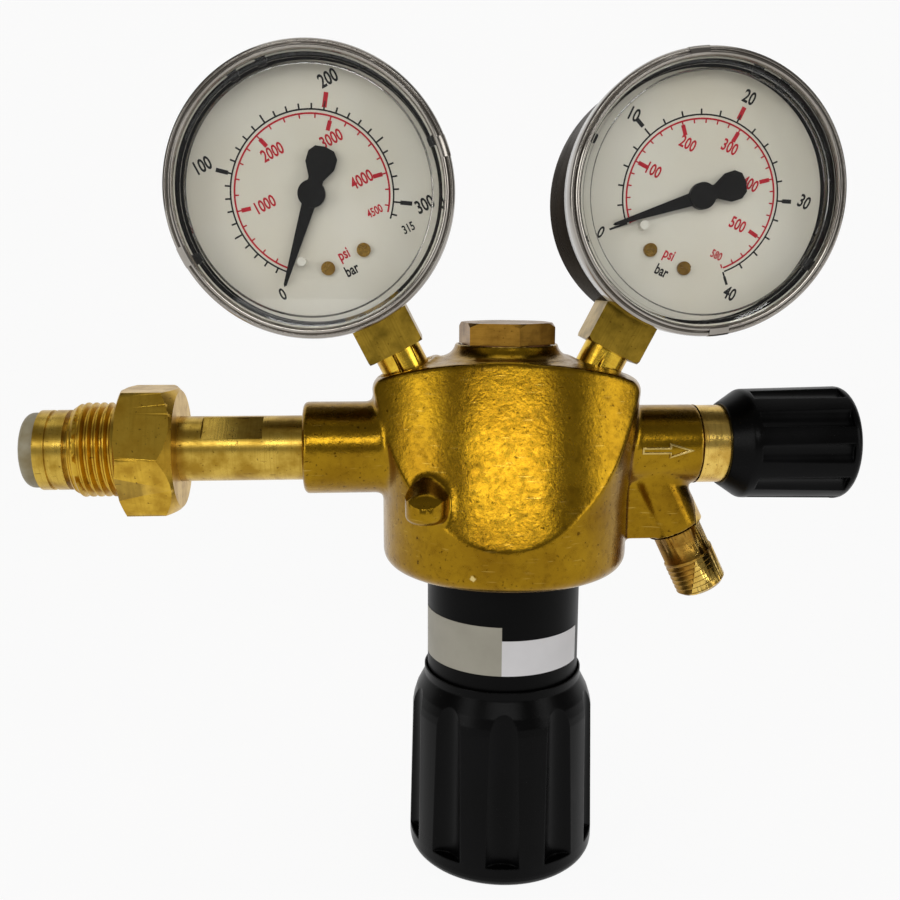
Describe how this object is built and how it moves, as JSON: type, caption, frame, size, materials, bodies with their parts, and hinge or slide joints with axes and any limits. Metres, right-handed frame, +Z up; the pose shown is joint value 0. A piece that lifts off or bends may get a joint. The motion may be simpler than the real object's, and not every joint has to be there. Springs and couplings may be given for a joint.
{
  "type": "gas cylinder pressure regulator",
  "caption": "Forged brass gas-cylinder pressure regulator with an inlet union, dial gauges, a spring-loaded diaphragm, an adjusting knob and a shut-off valve.",
  "frame": {"origin": "start of the full inlet thread, on the axis of the inlet union", "axes": "+X along the inlet from the union towards the shut-off valve, +Y from the gauge faces to the back, +Z up, from the adjusting knob towards the gauges"},
  "size_m": [0.203, 0.0637, 0.1997],
  "materials": {
    "forged_brass": "satin",
    "turned_brass": "satin",
    "black_plastic": "satin",
    "black_metal": "satin",
    "plain_steel": "satin",
    "spring_steel": "satin",
    "gauge_steel": "satin",
    "clear_plastic": "clear",
    "dial_white": "matte",
    "seal_white": "matte",
    "seal_black": "matte",
    "copper_fibre": "matte",
    "sintered_bronze": "matte"
  },
  "bodies": {
    "regulator": {"body": "forged_brass", "top_plug": "turned_brass", "plug_gasket": "copper_fibre", "inlet_nipple": "turned_brass", "inlet_seal": "seal_white", "inlet_filter": "sintered_bronze", "valve_seat": "turned_brass", "poppet_spring": "spring_steel", "diaphragm": "seal_black", "slip_ring": "plain_steel", "main_spring": "spring_steel", "thrust_washer": "plain_steel", "bonnet": "black_metal", "shutoff_gland": "turned_brass", "spindle_oring": "seal_black", "relief_spring": "spring_steel", "relief_screw": "turned_brass", "high_stem": "turned_brass", "high_case": "gauge_steel", "high_bezel": "gauge_steel", "high_window": "clear_plastic", "high_dial": "dial_white", "high_dial_screws": "turned_brass", "high_stop_pin": "dial_white", "high_bourdon_tube": "turned_brass", "high_movement": "turned_brass", "low_stem": "turned_brass", "low_case": "gauge_steel", "low_bezel": "gauge_steel", "low_window": "clear_plastic", "low_dial": "dial_white", "low_dial_screws": "turned_brass", "low_stop_pin": "dial_white", "low_bourdon_tube": "turned_brass", "low_movement": "turned_brass"},
    "inlet_union": {"inlet_nut": "turned_brass"},
    "pressure_knob": {"adjusting_knob": "black_plastic", "adjusting_screw": "plain_steel", "knob_screw": "plain_steel", "knob_cap": "black_plastic"},
    "follower": {"spring_follower": "turned_brass"},
    "diaphragm_stack": {"diaphragm_plate": "turned_brass", "spring_plate": "plain_steel"},
    "poppet": {"valve_poppet": "seal_white"},
    "shutoff_handle": {"shutoff_knob": "black_plastic", "shutoff_spindle": "plain_steel", "shutoff_knob_screw": "plain_steel", "shutoff_knob_cap": "black_plastic"},
    "shutoff_carrier": {"shutoff_disc": "turned_brass", "disc_seal": "seal_white"},
    "relief_disc": {"relief_poppet": "seal_black"},
    "high_pointer_arbor": {"high_pointer": "black_plastic", "high_pinion": "plain_steel"},
    "high_sector_arm": {"high_sector": "turned_brass"},
    "high_tube_link": {"high_link": "turned_brass"},
    "low_pointer_arbor": {"low_pointer": "black_plastic", "low_pinion": "plain_steel"},
    "low_sector_arm": {"low_sector": "turned_brass"},
    "low_tube_link": {"low_link": "turned_brass"}
  },
  "joints": [
    {"name": "inlet_nut_turn", "type": "hinge", "parent": "regulator", "child": "inlet_union", "pos_m": [0.0115, 0, 0], "axis": [1, 0, 0], "continuous": true},
    {"name": "pressure_knob_turn", "type": "hinge", "parent": "regulator", "child": "pressure_knob", "pos_m": [0.1026, 0, -0.08], "axis": [0, 0, 1], "range_deg": [0, 2520]},
    {"name": "follower_slide", "type": "slide", "parent": "regulator", "child": "follower", "axis": [0, 0, 1], "range_m": [0, 0.0105], "deforming": ["main_spring"]},
    {"name": "diaphragm_lift", "type": "slide", "parent": "regulator", "child": "diaphragm_stack", "axis": [0, 0, 1], "range_m": [0, 0.0008], "stiffness_N_per_m": 4000, "deforming": ["diaphragm"]},
    {"name": "poppet_lift", "type": "slide", "parent": "regulator", "child": "poppet", "axis": [0, 0, 1], "range_m": [0, 0.0008], "deforming": ["poppet_spring"]},
    {"name": "shutoff_knob_turn", "type": "hinge", "parent": "regulator", "child": "shutoff_handle", "pos_m": [0.1626, 0, 0], "axis": [1, 0, 0], "range_deg": [0, 360]},
    {"name": "shutoff_carrier_slide", "type": "slide", "parent": "regulator", "child": "shutoff_carrier", "axis": [1, 0, 0], "range_m": [0, 0.00125]},
    {"name": "relief_disc_lift", "type": "slide", "parent": "regulator", "child": "relief_disc", "axis": [0, 0, -1], "range_m": [0, 0.0006], "stiffness_N_per_m": 1500, "springref_m": -0.0005, "deforming": ["relief_spring"]},
    {"name": "high_pointer_turn", "type": "hinge", "parent": "regulator", "child": "high_pointer_arbor", "pos_m": [0.05649, -0.00899, 0.06009], "axis": [0.0465, 0.9986, 0.0239], "range_deg": [0, 270]},
    {"name": "high_sector_turn", "type": "hinge", "parent": "regulator", "child": "high_sector_arm", "pos_m": [0.06792, -0.00447, 0.05809], "axis": [0.0465, 0.9986, 0.0239], "range_deg": [-37, 0]},
    {"name": "high_link_turn", "type": "hinge", "parent": "high_sector_arm", "child": "high_tube_link", "pos_m": [0.07321, -0.00384, 0.05521], "axis": [0.0465, 0.9986, 0.0239], "range_deg": [0, 37]},
    {"name": "low_pointer_turn", "type": "hinge", "parent": "regulator", "child": "low_pointer_arbor", "pos_m": [0.1464, -0.009, 0.06037], "axis": [0.0155, 0.9998, -0.008], "range_deg": [0, 270]},
    {"name": "low_sector_turn", "type": "hinge", "parent": "regulator", "child": "low_sector_arm", "pos_m": [0.15128, -0.00416, 0.04999], "axis": [0.0155, 0.9998, -0.008], "range_deg": [-37, 0]},
    {"name": "low_link_turn", "type": "hinge", "parent": "low_sector_arm", "child": "low_tube_link", "pos_m": [0.152, -0.00342, 0.04403], "axis": [0.0155, 0.9998, -0.008], "range_deg": [0, 37]}
  ],
  "couplings": [
    {"joint": "follower_slide", "follows": "pressure_knob_turn", "m_per_rad": 0.00023873},
    {"joint": "poppet_lift", "follows": "diaphragm_lift", "ratio": 1},
    {"joint": "shutoff_carrier_slide", "follows": "shutoff_knob_turn", "m_per_rad": 0.00019894},
    {"joint": "high_sector_turn", "follows": "high_pointer_turn", "ratio": -0.1345},
    {"joint": "high_link_turn", "follows": "high_pointer_turn", "ratio": 0.1345},
    {"joint": "low_sector_turn", "follows": "low_pointer_turn", "ratio": -0.1345},
    {"joint": "low_link_turn", "follows": "low_pointer_turn", "ratio": 0.1345}
  ]
}
